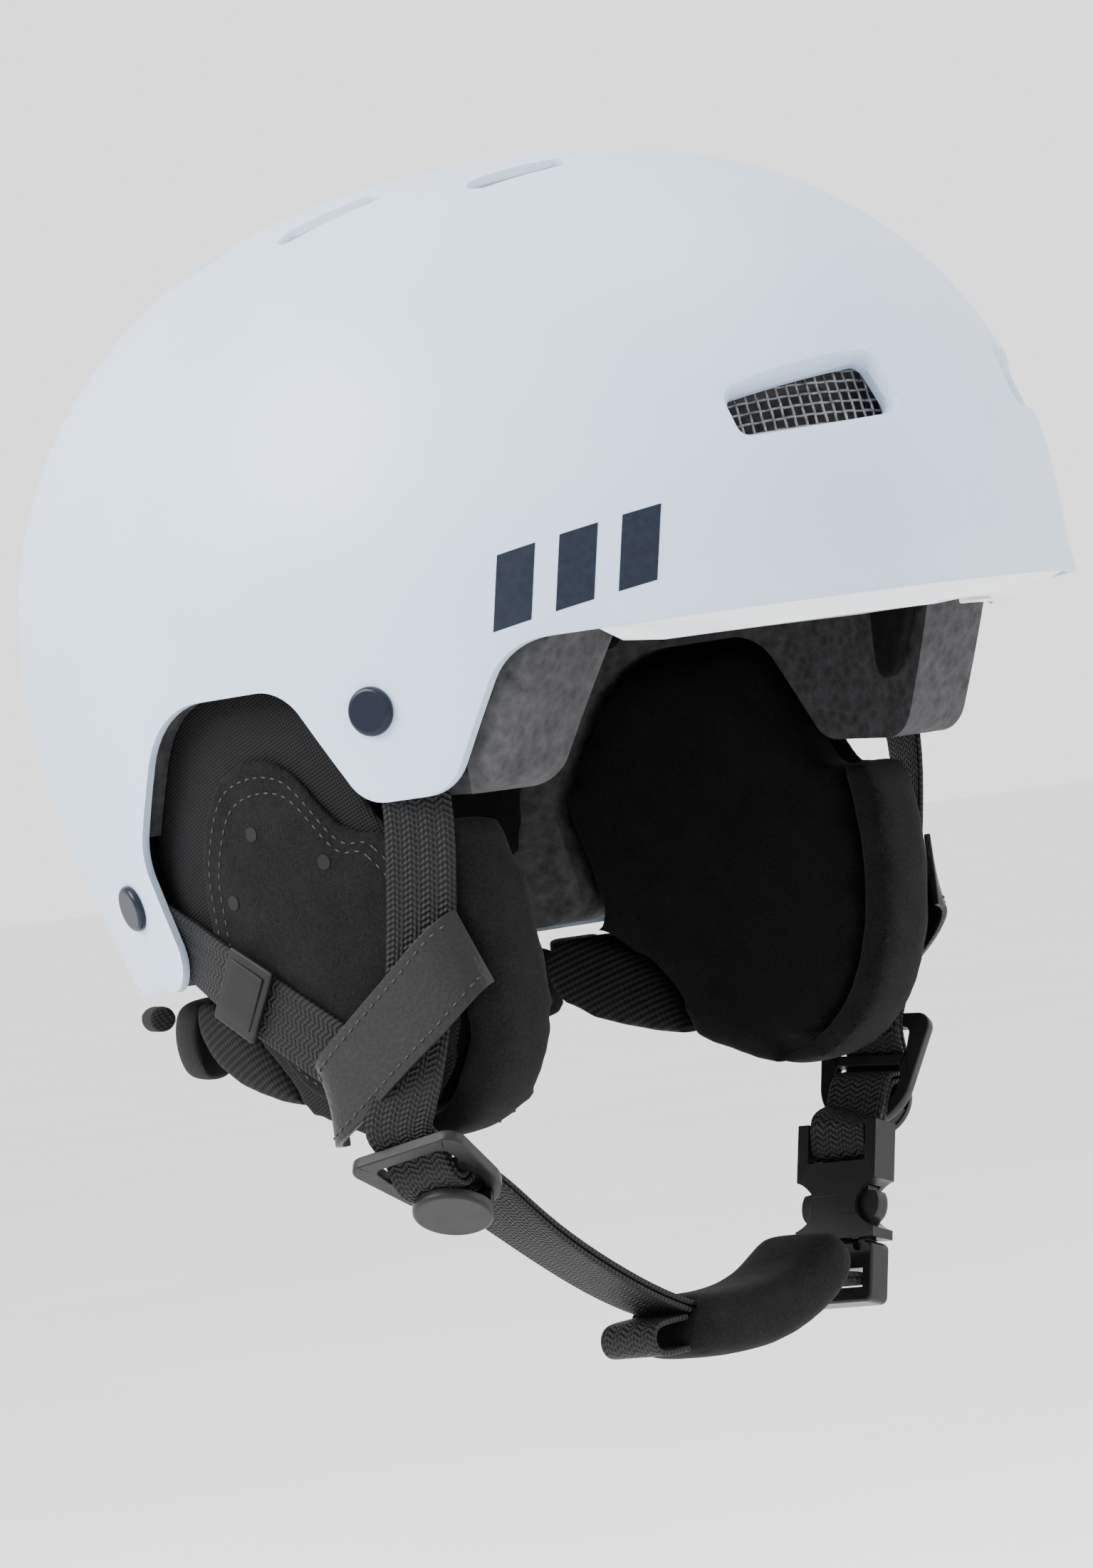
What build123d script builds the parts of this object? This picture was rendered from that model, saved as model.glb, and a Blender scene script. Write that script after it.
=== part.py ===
from build123d import *
from functools import cache
from math import atan2, cos, degrees, radians, sin, sqrt
import os

# Ski helmet: hard shell, foam liner, comfort lining, ear pads, strap harness and chin buckle.
# Millimetres. The wearer looks along -Y, the wearer's right ear is at -X and the crown is at +Z.
# The origin is the middle of the head, on the band where the hat size is measured.

os.makedirs("parts", exist_ok=True)

# Outer form: an egg-shaped plan, in front of and behind the widest line, under a full dome
HALF_WIDTH = 112.5
FRONT_LENGTH = 140.0
BACK_LENGTH = 150.0
WIDEST_Z = 26.0
DOME_HEIGHT = 110.5
DOME_FULLNESS = 0.83
SIDE_TUCK = 0.06
BACK_TUCK = 0.28
BRIM_FLARE = 2.0
REAR_LIP = 2.5
FORM_BOTTOM_Z = -66.0

# Layers, as distances drawn in from the outer form
SHELL_WALL = 2.5
FOAM_OUTSIDE = 2.9
FOAM_INSIDE = 27.0
PAD_OUTSIDE = 27.4
PAD_INSIDE = 34.0
VENT_FRAME_DEPTH = 6.5
STRAP_POCKET_DEPTH = 8.0

# Lower edge of the shell seen from the side: y, z and the radius of each corner
BRIM_Z = 12.5
TEMPLE_Z = -21.0
NAPE_Z = -61.0
TEMPLE_FRONT = [(-62.0, BRIM_Z, 16.0), (-44.0, TEMPLE_Z, 12.0)]
EAR_ARCH = [(-21.0, TEMPLE_Z, 11.0), (-2.0, 9.5, 15.0), (42.0, 9.5, 25.0),
            (60.5, -26.0, 15.0), (50.5, NAPE_Z + 1, 9.0)]
NAPE_EDGE = [(100.0, NAPE_Z, 40.0), (125.0, NAPE_Z + 9, 30.0)]
FOAM_TEMPLE_FRONT = [(-74.0, 17.4, 12.0), (-53.0, -23.5, 12.0)]

# Harness
WEBBING_WIDTH = 17.0
WEBBING_THICK = 1.5
RIVET_HEAD = 12.0
RIVET_SHANK = 4.6
FRONT_RIVET = (-27.0, 1.0)
REAR_RIVET = (71.0, -38.0)

# Strap dividers: middle of each plate, direction of the webbing that leaves it and turn about that
RIGHT_DIVIDER = (-94.5, -13.5, -111.0)
LEFT_DIVIDER = (94.7, -13.5, -106.8)
CHIN_DIRECTION = (0.85, 0.0, -0.53)
CHIN_TURN = -12.0
LEFT_DIRECTION = (-0.50, 0.0, -0.87)
LEFT_TURN = -8.0
PLATE_THICK = 3.0

# Chin strap: it turns on the straps above the right divider; the buckle's axis is square to that arm
HARNESS_Y = -13.0
PIVOT_X, PIVOT_Z = -104.8, -98.5
MOUTH_X, MOUTH_Z = 71.5, -151.0

BOTH_SIDES = ((-1, "right"), (1, "left"))


def save(builder, name):
    """Label a finished piece and write it as its own file."""
    builder.part.label = name
    export_step(builder.part, f"parts/{name}.step")


# ---------------------------------------------------------------- outer form

def ease(value):
    """Smooth step from 0 to 1."""
    value = min(max(value, 0.0), 1.0)
    return value * value * (3 - 2 * value)


def plan_sizes(z, inset=0.0):
    """Half width, front length and back length of the form at a height."""
    sizes = [HALF_WIDTH - inset, FRONT_LENGTH - inset, BACK_LENGTH - inset]
    if z > WIDEST_Z:
        rise = (z - WIDEST_Z) / (DOME_HEIGHT - inset)
        return [size * max(1 - rise**2, 1e-6) ** (DOME_FULLNESS / 2) for size in sizes]
    drop = ((WIDEST_Z - z) / 100) ** 2
    sizes[0] -= HALF_WIDTH * SIDE_TUCK * drop
    sizes[1] += BRIM_FLARE * ease((24 - z) / 14)
    sizes[2] += REAR_LIP * ease((-44 - z) / 16) - BACK_LENGTH * BACK_TUCK * drop
    return sizes


@cache
def helmet_form(inset):
    """Solid of the outer form, drawn in by a distance all round."""
    crown = [WIDEST_Z + (DOME_HEIGHT - inset) * sin(radians(angle)) for angle in
             (12, 24, 36, 48, 59, 69, 78, 85, 89)]
    with BuildPart() as form:
        for z in [FORM_BOTTOM_Z, -58, -50, -40, -24, -8, 6, 13, 20, WIDEST_Z] + crown:
            half_width, front, back = plan_sizes(z, inset)
            with BuildSketch(Plane.XY.offset(z)):
                with BuildLine():
                    EllipticalCenterArc((0, 0), half_width, back, 0, arc_size=180)
                    EllipticalCenterArc((0, 0), half_width, front, 180, arc_size=180)
                make_face()
        loft()
    return form.part


@cache
def layer(outside, inside):
    """Skin of the form between two insets."""
    with BuildPart() as skin:
        add(helmet_form(outside))
        add(helmet_form(inside), mode=Mode.SUBTRACT)
    return skin.part


def side_x(y, z, inset=0.0):
    """Distance from the middle plane to the form at the side of the head."""
    half_width, front, back = plan_sizes(z, inset)
    return half_width * sqrt(max(1 - (y / (front if y < 0 else back)) ** 2, 0))


def crown_z(x, y):
    """Height of the dome over a point in plan."""
    length = FRONT_LENGTH if y < 0 else BACK_LENGTH
    reach = sqrt((x / HALF_WIDTH) ** 2 + (y / length) ** 2)
    return WIDEST_Z + DOME_HEIGHT * sqrt(1 - reach ** (2 / DOME_FULLNESS))


def surface_normal(point):
    """Outward direction of the form at a point on it."""
    def stretch(x, y, z):
        half_width, front, back = plan_sizes(z)
        return (x / half_width) ** 2 + (y / (front if y < 0 else back)) ** 2
    step = 0.1
    x, y, z = point
    return Vector(stretch(x + step, y, z) - stretch(x - step, y, z),
                  stretch(x, y + step, z) - stretch(x, y - step, z),
                  stretch(x, y, z + step) - stretch(x, y, z - step)).normalized()


def surface_plane(point, along):
    """Plane touching the form at a point, with its x axis turned towards a direction."""
    normal = surface_normal(point)
    along = Vector(along)
    return Plane(point, x_dir=along - normal * along.dot(normal), z_dir=normal)


def edge_sketch(front_corners, lift=0.0):
    """Side view of everything below an edge: forehead, temple, ear arch and nape."""
    corners = front_corners + EAR_ARCH + NAPE_EDGE
    points = [(-175, front_corners[0][1])] + [(y, z) for y, z, _ in corners] + [(175, NAPE_Z + 9)]
    with BuildSketch() as below:
        with BuildLine():
            edge = FilletPolyline(*points, radius=[radius for _, _, radius in corners])
            Polyline(edge @ 1, (175, -220), (-175, -220), edge @ 0)
        make_face()
        if lift:
            offset(amount=lift, kind=Kind.INTERSECTION)
    return below.sketch


# ---------------------------------------------------------------- vents

FRONT_VENT_OPENING = [(-21.5, 3.3), (17.0, 8.8), (21.5, -5.5), (-19.5, -6.6)]
FRONT_VENT_RECESS = [(-25.0, 6.2), (20.0, 12.4), (27.0, -7.0), (-22.0, -10.0)]
TOP_SLOTS = [((-56.0, 8.0), (16.0, -20.0)), ((-38.0, -39.0), (30.0, -17.0)),
             ((-47.0, 60.0), (6.0, 24.0))]
REAR_SLOT = ((-46.0, 62.0), (1.0, 0.45))
SLOT_OPENING = (27.0, 7.0)
SLOT_RECESS = (31.0, 10.0)
SLOT_FRAME_DEPTH = 3.6


def front_vent_plane():
    """Plane of the right front vent."""
    x, z = -45.0, 61.0
    half_width, front, _ = plan_sizes(z)
    return surface_plane((x, -front * sqrt(1 - (x / half_width) ** 2), z), (0.88, -0.48, 0))


def rear_slot_plane():
    """Plane of the right rear slot."""
    (x, z), (along_x, along_z) = REAR_SLOT
    half_width, _, back = plan_sizes(z)
    return surface_plane((x, back * sqrt(1 - (x / half_width) ** 2), z), (along_x, 0, along_z))


def slot_planes():
    """Planes of the right-hand top slots and the rear slot."""
    planes = [surface_plane((x, y, crown_z(x, y)), (*along, 0)) for (x, y), along in TOP_SLOTS]
    return planes + [rear_slot_plane()]


def blade(corners, radius, grow=0.0):
    """Four-sided vent outline with rounded corners."""
    with BuildSketch() as outline:
        with BuildLine():
            FilletPolyline(*corners, radius=radius, close=True)
        make_face()
        if grow:
            offset(amount=grow)
    return outline.sketch


def slot(size, grow=0.0):
    """Round-ended slot outline."""
    with BuildSketch() as outline:
        SlotOverall(size[0] + 2 * grow, size[1] + 2 * grow)
    return outline.sketch


def funnel(plane, recess, opening, depth):
    """Cutter that dips from the recess outline at the surface to the opening behind it."""
    with BuildPart() as cutter:
        with BuildSketch(plane.offset(0.6)):
            add(recess)
        with BuildSketch(plane.offset(1.5 - depth)):
            add(opening)
        loft()
        with BuildSketch(plane.offset(0.6)):
            add(recess)
        extrude(amount=8)
        with BuildSketch(plane.offset(1.5 - depth)):
            add(opening)
        extrude(amount=-14)
    return cutter.part


def prism(plane, outline, depth_out, depth_in):
    """Outline of a vent run straight through the form."""
    with BuildPart() as column:
        with BuildSketch(plane.offset(depth_out)):
            add(outline)
        extrude(amount=-(depth_out + depth_in))
    return column.part


VENTS = [(front_vent_plane(), blade(FRONT_VENT_RECESS, 4.5), blade(FRONT_VENT_OPENING, 3.0),
          blade(FRONT_VENT_RECESS, 4.5, 2.0), VENT_FRAME_DEPTH)]
VENTS += [(plane, slot(SLOT_RECESS), slot(SLOT_OPENING), slot(SLOT_RECESS, 2.0), SLOT_FRAME_DEPTH)
          for plane in slot_planes()]


# ---------------------------------------------------------------- shell

def rivet_plane(spot, side):
    """Plane on the outside of the shell at a rivet."""
    y, z = spot
    return surface_plane((side * side_x(y, z), y, z), (0, 1, 0))


RIVETS = [rivet_plane(spot, side) for side in (-1, 1) for spot in (FRONT_RIVET, REAR_RIVET)]

with BuildPart() as shell:
    add(layer(0.0, SHELL_WALL))
    for plane, recess, opening, frame, depth in VENTS:
        # Each opening has a frame that dips inwards behind the surface
        with BuildPart(mode=Mode.PRIVATE) as vent_frame:
            add(layer(0.0, depth))
            add(prism(plane, frame, 12, 16), mode=Mode.INTERSECT)
        with BuildPart(mode=Mode.PRIVATE) as vent_cut:
            add(funnel(plane, recess, opening, depth))
        add(vent_frame.part)
        add(mirror(vent_frame.part, about=Plane.YZ, mode=Mode.PRIVATE))
        add(vent_cut.part, mode=Mode.SUBTRACT)
        add(mirror(vent_cut.part, about=Plane.YZ, mode=Mode.PRIVATE), mode=Mode.SUBTRACT)
    with BuildSketch(Plane.YZ):
        add(edge_sketch(TEMPLE_FRONT))
    extrude(amount=150, both=True, mode=Mode.SUBTRACT)
    with Locations(*[Location(plane) for plane in RIVETS]):
        Hole(RIVET_SHANK / 2 + 0.3, depth=12)
save(shell, "shell")


# ---------------------------------------------------------------- foam liner and brim underside

EAR_LEVELS = ((14.0, 104.0, 130.0), (-40.0, 102.5, 128.0), (-80.0, 96.5, 123.0), (-114.0, 86.0, 115.0))
PANEL_THICK = 3.0
EAR_PAD_THICK = 22.0
PATCH_THICK = 2.2
TUCK_ROOM = 0.5


def ear_layer(outside, inside):
    """Upright oval skin that the ear pads follow."""
    with BuildPart() as skin:
        for inset, mode in ((outside, Mode.ADD), (inside, Mode.SUBTRACT)):
            for z, half_width, half_length in EAR_LEVELS:
                with BuildSketch(Plane.XY.offset(z)):
                    Ellipse(half_width - inset, half_length - inset)
            loft(mode=mode)
    return skin.part


with BuildPart() as foam_liner:
    add(layer(FOAM_OUTSIDE, FOAM_INSIDE))
    with BuildSketch(Plane.YZ):
        add(edge_sketch(FOAM_TEMPLE_FRONT, lift=1.0))
    extrude(amount=150, both=True, mode=Mode.SUBTRACT)
    # Pockets for the strap ends and the washers behind the rivets
    with BuildPart(mode=Mode.PRIVATE) as strap_pockets:
        add(layer(0.0, STRAP_POCKET_DEPTH))
        with BuildSketch(Plane.YZ):
            with Locations((-30, -10)):
                Rectangle(34, 46)
            with Locations((72, -45)):
                Rectangle(52, 48)
        extrude(amount=150, both=True, mode=Mode.INTERSECT)
    add(strap_pockets.part, mode=Mode.SUBTRACT)
    # Pockets that the cloth of the ear pads is tucked into
    with BuildPart(mode=Mode.PRIVATE) as cloth_pockets:
        add(ear_layer(-TUCK_ROOM, PANEL_THICK + TUCK_ROOM))
        with BuildSketch(Plane.YZ):
            with Locations((26.5, -22.5)):
                RectangleRounded(87, 83, 22)
        extrude(amount=150, both=True, mode=Mode.INTERSECT)
    add(cloth_pockets.part, mode=Mode.SUBTRACT)
    for plane, _, _, frame, _ in VENTS:
        with BuildPart(mode=Mode.PRIVATE) as channel:
            add(prism(plane, frame, 14, 62))
        add(channel.part, mode=Mode.SUBTRACT)
        add(mirror(channel.part, about=Plane.YZ, mode=Mode.PRIVATE), mode=Mode.SUBTRACT)
    # Air intake that rises from the scoop in the brim
    with BuildSketch(Plane.XY.offset(8)):
        with Locations((0, -124)):
            Ellipse(15, 7)
    extrude(amount=26, mode=Mode.SUBTRACT)
save(foam_liner, "foam_liner")

BRIM_CRESCENT = 112.0
BRIM_DROP = 5.0
with BuildPart() as brim_underside:
    with BuildSketch(Plane.XY.offset(BRIM_Z + 0.6 - BRIM_DROP)):
        with BuildLine():
            EllipticalCenterArc((0, 0), HALF_WIDTH - 3.4, FRONT_LENGTH - 1.6, 180, arc_size=180)
            Line((HALF_WIDTH - 3.4, 0), (3.4 - HALF_WIDTH, 0))
        make_face()
        Circle(BRIM_CRESCENT, mode=Mode.SUBTRACT)
        with Locations((0, -80 + 100)):
            Rectangle(260, 200, mode=Mode.SUBTRACT)
        # Scoop of the air intake
        with Locations((0, -113)):
            Ellipse(22, 15, mode=Mode.SUBTRACT)
    extrude(amount=BRIM_DROP + 3.8)
    # Its outside slopes in and down from the edge of the shell
    with BuildPart(mode=Mode.PRIVATE) as slope:
        for rise, inset in ((0, 13), (BRIM_DROP, 1.6), (BRIM_DROP + 4, 1.6)):
            with BuildSketch(Plane.XY.offset(BRIM_Z + 0.6 - BRIM_DROP + rise)):
                Ellipse(HALF_WIDTH - 1.8 - inset, FRONT_LENGTH - inset)
        loft(ruled=True)
    add(slope.part, mode=Mode.INTERSECT)
save(brim_underside, "brim_underside")

with BuildPart() as air_scoop:
    with BuildSketch(Plane.XY.offset(BRIM_Z + 0.9)):
        with Locations((0, -113)):
            Ellipse(21.6, 14.6)
        with Locations((0, -103)):
            Rectangle(60, 20, mode=Mode.SUBTRACT)
    extrude(amount=3.4)
    with BuildSketch(Plane.XY.offset(BRIM_Z + 0.9)):
        with Locations((0, -113)):
            Ellipse(19.6, 12.6)
    extrude(amount=2.2, mode=Mode.SUBTRACT)
    with BuildSketch(Plane.XY.offset(BRIM_Z)):
        with Locations((0, -120)):
            Ellipse(8, 3.4)
    extrude(amount=6, mode=Mode.SUBTRACT)
save(air_scoop, "air_scoop")

for side, name in BOTH_SIDES:
    with BuildPart() as front_vent_mesh:
        with BuildPart(mode=Mode.PRIVATE) as mesh_panel:
            add(layer(VENT_FRAME_DEPTH, VENT_FRAME_DEPTH + 1.0))
            add(prism(VENTS[0][0], VENTS[0][3], 2, 22), mode=Mode.INTERSECT)
        if side < 0:
            add(mesh_panel.part)
        else:
            add(mirror(mesh_panel.part, about=Plane.YZ, mode=Mode.PRIVATE))
    save(front_vent_mesh, f"front_vent_mesh_{name}")


# ---------------------------------------------------------------- comfort lining

def lining_pad(outline, plane=Plane.YZ, reach=150.0, both=True):
    """Pad on the inside of the foam, inside an outline run square to a plane."""
    with BuildPart() as pad:
        add(layer(PAD_OUTSIDE, PAD_INSIDE))
        with BuildSketch(plane):
            add(outline)
        extrude(amount=reach, both=both, mode=Mode.INTERSECT)
    return pad.part


with BuildSketch() as brow_outline:
    with BuildLine():
        FilletPolyline((-150, 17.6), (-72, 17.6), (-56, -8), (-47, -8), (-48, 40), (-150, 52),
                       radius=[8, 5, 3.5, 12])
        Line((-150, 52), (-150, 17.6))
    make_face()
with BuildPart() as brow_pad:
    add(lining_pad(brow_outline.sketch))
save(brow_pad, "brow_pad")

with BuildSketch() as side_outline:
    with Locations((-6, 26)):
        RectangleRounded(66, 30, 12)
with BuildPart() as side_pads:
    add(lining_pad(side_outline.sketch))
for piece, (side, name) in zip(side_pads.solids().sort_by(Axis.X), BOTH_SIDES):
    with BuildPart() as side_pad:
        add(piece)
    save(side_pad, f"side_pad_{name}")

with BuildSketch() as rear_outline:
    with BuildLine():
        FilletPolyline((150, 34), (52, 34), (34, 27), (34, 11), (64, 9), (66, -46), (150, -46),
                       radius=[8, 6, 6, 8, 12])
        Line((150, -46), (150, 34))
    make_face()
with BuildPart() as rear_pad:
    add(lining_pad(rear_outline.sketch))
save(rear_pad, "rear_pad")

with BuildSketch() as crown_outline:
    with Locations((0, 4)):
        RectangleRounded(44, 130, 20)
with BuildPart() as crown_pad:
    add(lining_pad(crown_outline.sketch, Plane.XY.offset(60), 90, both=False))
save(crown_pad, "crown_pad")


# ---------------------------------------------------------------- ear pads

def ear_piece(side, outside, inside, outline):
    """One side's piece of an ear skin, inside an outline seen from the side."""
    with BuildPart() as piece:
        add(ear_layer(outside, inside))
        with BuildSketch(Plane.YZ):
            add(outline)
        extrude(amount=side * 150, mode=Mode.INTERSECT)
    return piece.part


# Side outlines of the ear pad: whole pad, the fleece roll along its front, the knit part and the patch
with BuildSketch() as ear_outline:
    with BuildLine():
        Spline((-37, -26), (-42, -46), (-42, -70), (-35, -90), (-21, -102), (0, -104), (22, -96),
               (44, -90), (62, -80), (67, -70), (64, -62.4))
        FilletPolyline((64, -62.4), (49.2, -62.4), (59.4, -26), (41.2, 8.6), (-1.2, 8.6), (-18.6, -26),
                       (-37, -26), radius=[4, 14, 24, 14, 4])
    make_face()
with BuildSketch() as tuck_outline:
    with BuildLine():
        FilletPolyline((-15, -30), (-15, -8), (-3, 16.5), (46, 16.5), (66, -26), (57, -62.2), (40, -62.2),
                       radius=[4, 6, 8, 14, 14, 4, 4], close=True)
    make_face()
with BuildSketch() as roll_outline:
    with BuildLine():
        Spline((-25, -26), (-29, -46), (-29, -70), (-23, -86), (-10, -97), (0, -99))
        Polyline((0, -99), (0, -130), (-80, -130), (-80, -26), (-25, -26))
    make_face()
with BuildSketch() as knit_outline:
    with BuildLine():
        Spline((26, -120), (27, -92), (36, -76), (62, -60))
        Polyline((62, -60), (90, -60), (90, -120), (26, -120))
    make_face()
with BuildSketch() as patch_outline:
    with BuildLine():
        Spline((-20, -27), (-8, -24), (8, -8), (28, -9), (40, -26), (42.5, -42), (41.5, -60), (30, -76),
               (20, -89), (0, -94), (-16, -90), (-29, -76), (-30, -46), (-20, -27))
    make_face()

with BuildSketch() as ear_middle:
    add(ear_outline.sketch)
    add(roll_outline.sketch, mode=Mode.SUBTRACT)
    add(knit_outline.sketch, mode=Mode.SUBTRACT)
with BuildSketch() as ear_cloth:
    add(ear_middle.sketch)
    add(tuck_outline.sketch)
with BuildSketch() as ear_roll:
    add(ear_outline.sketch)
    add(roll_outline.sketch, mode=Mode.INTERSECT)
with BuildSketch() as ear_knit:
    add(ear_outline.sketch)
    add(knit_outline.sketch, mode=Mode.INTERSECT)
with BuildSketch() as ear_patch:
    add(patch_outline.sketch)
    add(ear_middle.sketch, mode=Mode.INTERSECT)

for side, name in BOTH_SIDES:
    for piece_name, outside, inside, outline in (
            ("ear_panel", 0.0, PANEL_THICK, ear_cloth.sketch),
            ("ear_pad", PANEL_THICK + 0.3, EAR_PAD_THICK, ear_middle.sketch),
            ("ear_patch", -PATCH_THICK, -0.2, ear_patch.sketch),
            ("ear_roll", -1.0, EAR_PAD_THICK, ear_roll.sketch),
            ("ear_knit", -0.5, EAR_PAD_THICK, ear_knit.sketch)):
        with BuildPart() as ear_part:
            add(ear_piece(side, outside, inside, outline))
        save(ear_part, f"{piece_name}_{name}")

# Padded roll round the nape, between the knit ends of the two ear pads
with BuildPart() as neck_roll:
    for z, swell in ((-62.5, 3.0), (-66, 5.0), (-74, 6.5), (-82, 5.0), (-85.5, 3.0)):
        with BuildSketch(Plane.XY.offset(z)):
            Ellipse(91 + swell, 112 + swell)
    loft()
    for z, swell in ((-62.5, 3.0), (-66, 5.0), (-74, 6.5), (-82, 5.0), (-85.5, 3.0)):
        with BuildSketch(Plane.XY.offset(z)):
            Ellipse(89 - swell, 110 - swell)
    loft(mode=Mode.SUBTRACT)
    with Locations((0, 120, -74)):
        Box(260, 102, 40, mode=Mode.INTERSECT)
save(neck_roll, "neck_roll")


# ---------------------------------------------------------------- rivets and straps

def under_shell(y, z, side, depth):
    """Point inside the shell near its side, with the way a strap's face looks there."""
    plane = rivet_plane((y, z), side)
    return (plane.origin - plane.z_dir * depth, plane.z_dir)


def strap(stations, width=WEBBING_WIDTH, thick=WEBBING_THICK, ruled=True):
    """Flat strap through stations, each a point and the way the strap's face looks there."""
    points = [Vector(point) for point, _ in stations]
    with BuildPart() as band:
        for index, (_, face) in enumerate(stations):
            ahead = points[min(index + 1, len(points) - 1)] - points[max(index - 1, 0)]
            across = ahead.cross(Vector(face))
            with BuildSketch(Plane(points[index], x_dir=across, z_dir=ahead)):
                Rectangle(width, thick)
        loft(ruled=ruled)
    return band.part


def mirrored(stations, side):
    """Stations of the right-hand side, taken to either side."""
    return [((point[0] * -side, point[1], point[2]), (face[0] * -side, face[1], face[2]))
            for point, face in stations]


HEAD_GAP = 0.15
with BuildPart() as rivet_caps:
    for plane in RIVETS:
        with BuildSketch(plane.offset(HEAD_GAP)):
            Circle(RIVET_HEAD / 2)
        extrude(amount=1.7)
        with BuildSketch(plane.offset(HEAD_GAP)):
            Circle(RIVET_SHANK / 2)
        extrude(amount=-7.2)
    fillet(rivet_caps.edges().filter_by(GeomType.CIRCLE).filter_by(
        lambda edge: edge.radius > 5 and any(
            (edge.arc_center - (plane.origin + plane.z_dir * (HEAD_GAP + 1.7))).length < 0.1
            for plane in RIVETS)), 1.2)
save(rivet_caps, "rivet_caps")

with BuildPart() as rivet_washers:
    for plane in RIVETS:
        with BuildSketch(plane.offset(-5.0)):
            Circle(4.6)
            Circle(RIVET_SHANK / 2 + 0.05, mode=Mode.SUBTRACT)
        extrude(amount=-0.9)
save(rivet_washers, "rivet_washers")

STRAP_DEPTH = 3.8
FRONT_ENDS = {-1: ((-103.7, -17, -89.5), (-104.6, -16, -95.6)),
              1: ((-102.4, -17.5, -84.5), (-102.2, -16, -88.6))}
REAR_ENDS = {-1: ((-102.0, -7.5, -90.5), (-102.6, -8, -95.4)),
             1: ((-100.3, -6.5, -85.5), (-100.2, -7, -89.0))}
for side, name in BOTH_SIDES:
    with BuildPart() as front_strap:
        add(strap([under_shell(-24, 10, side, STRAP_DEPTH), under_shell(-27, 1, side, STRAP_DEPTH),
                   under_shell(-33, -18, side, STRAP_DEPTH)]
                  + mirrored([((-104.2, -30, -38), (-1, -0.15, 0)),
                              ((-102.6, -25.5, -62), (-1, -0.12, -0.05)),
                              ((-102.6, -20.5, -78), (-1, -0.12, -0.05))]
                             + [(end, (-1, -0.12, -0.05)) for end in FRONT_ENDS[side]], side)))
        with Locations(Location(rivet_plane(FRONT_RIVET, side))):
            Hole(RIVET_SHANK / 2 + 0.3, depth=12)
    save(front_strap, f"front_strap_{name}")

    with BuildPart() as rear_strap:
        add(strap([under_shell(77, -33, side, STRAP_DEPTH), under_shell(71, -38, side, STRAP_DEPTH),
                   under_shell(58, -47, side, STRAP_DEPTH + 0.4)]
                  + mirrored([((-94.8, 51, -51.0), (-1, 0.5, -0.05)),
                              ((-98.6, 44, -54.4), (-1, 0.45, -0.05)),
                              ((-101.4, 35, -59.6), (-1, 0.2, -0.05)),
                              ((-101.7, 18, -71), (-1, 0.05, -0.05)),
                              ((-101.0, 5, -80.5), (-1, -0.05, -0.05))]
                             + [(end, (-1, -0.1, -0.05)) for end in REAR_ENDS[side]], side)))
        with Locations(Location(rivet_plane(REAR_RIVET, side))):
            Hole(RIVET_SHANK / 2 + 0.3, depth=12)
    save(rear_strap, f"rear_strap_{name}")

    # Rubber label on the outside of the rear strap
    with BuildPart() as strap_label:
        add(strap(mirrored([((-103.3, 36.5, -58.5), (-1, 0.2, -0.05)),
                            ((-104.0, 24.5, -66.5), (-1, 0.1, -0.05))], side),
                  WEBBING_WIDTH + 3, 1.6, ruled=True))
    save(strap_label, f"strap_label_{name}")

    # Leather loop sewn into the seam of the ear pad, over both straps
    with BuildPart() as strap_holder:
        add(strap(mirrored([((-101.6, -40.6, -57.4), (-1, -0.8, 0)),
                            ((-105.6, -36.2, -60.6), (-1, -0.5, 0)),
                            ((-106.1, -27, -68), (-1, -0.12, -0.05)),
                            ((-106.9, -10, -80), (-1, 0, -0.05)),
                            ((-107.2, 4, -89.5), (-1, 0.15, -0.05)),
                            ((-103.8, 11, -94), (-1, 0.9, -0.1))], side), 20, 1.6))
    save(strap_holder, f"strap_holder_{name}")

    # Rolled cloth loop under the nape of the shell
    with BuildPart() as pad_loop:
        with BuildSketch(Plane((side * 83.0, 78.5, -66.4), z_dir=(side * 0.62, -0.78, 0))):
            Circle(3.4)
        extrude(amount=14)
    save(pad_loop, f"pad_loop_{name}")


# ---------------------------------------------------------------- strap dividers

def divider_plane(middle, direction, turn):
    """Plane of a divider: y up towards the straps, z on the outside, turned about the webbing."""
    along = Vector(direction).normalized()
    front = Vector(0, -1, 0) if middle[0] < 0 else Vector(0, 1, 0)
    across = front.rotate(Axis((0, 0, 0), along), turn)
    return Plane(middle, x_dir=across, z_dir=across.cross(along * -1))


BAR_LOW, BAR_HIGH = -1.0, 2.0
WINDOW_TOP = 10.0
CAP_Y = -8.5
# Paths of the two layers round the bar of a divider, in the divider's own y and z
FRONT_FOLD = [(16.5, -2.6), (10.4, -2.6), (5.8, 0.4), (4.4, 3.4), (0.5, 4.6), (-3.7, 3.5), (-4.9, 0.6),
              (-6.6, -1.8), (-9.5, -2.6), (-12, -2.6)]
REAR_FOLD = [(14.5, -4.5), (9.0, -4.0), (4.4, -1.1), (3.4, 1.9), (0.5, 2.8), (-2.4, 1.9), (-3.1, -1.1),
             (-5.3, -3.6), (-9.0, -4.4), (-12, -4.4)]


def fold(plane, path):
    """Webbing threaded through a divider, from a path in the divider's own y and z."""
    points = [plane.from_local_coords(Vector(0, y, z)) for y, z in path]
    stations = []
    for index, point in enumerate(points):
        ahead = points[min(index + 1, len(points) - 1)] - points[max(index - 1, 0)]
        stations.append((point, ahead.cross(plane.x_dir)))
    return strap(stations, ruled=True)


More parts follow.
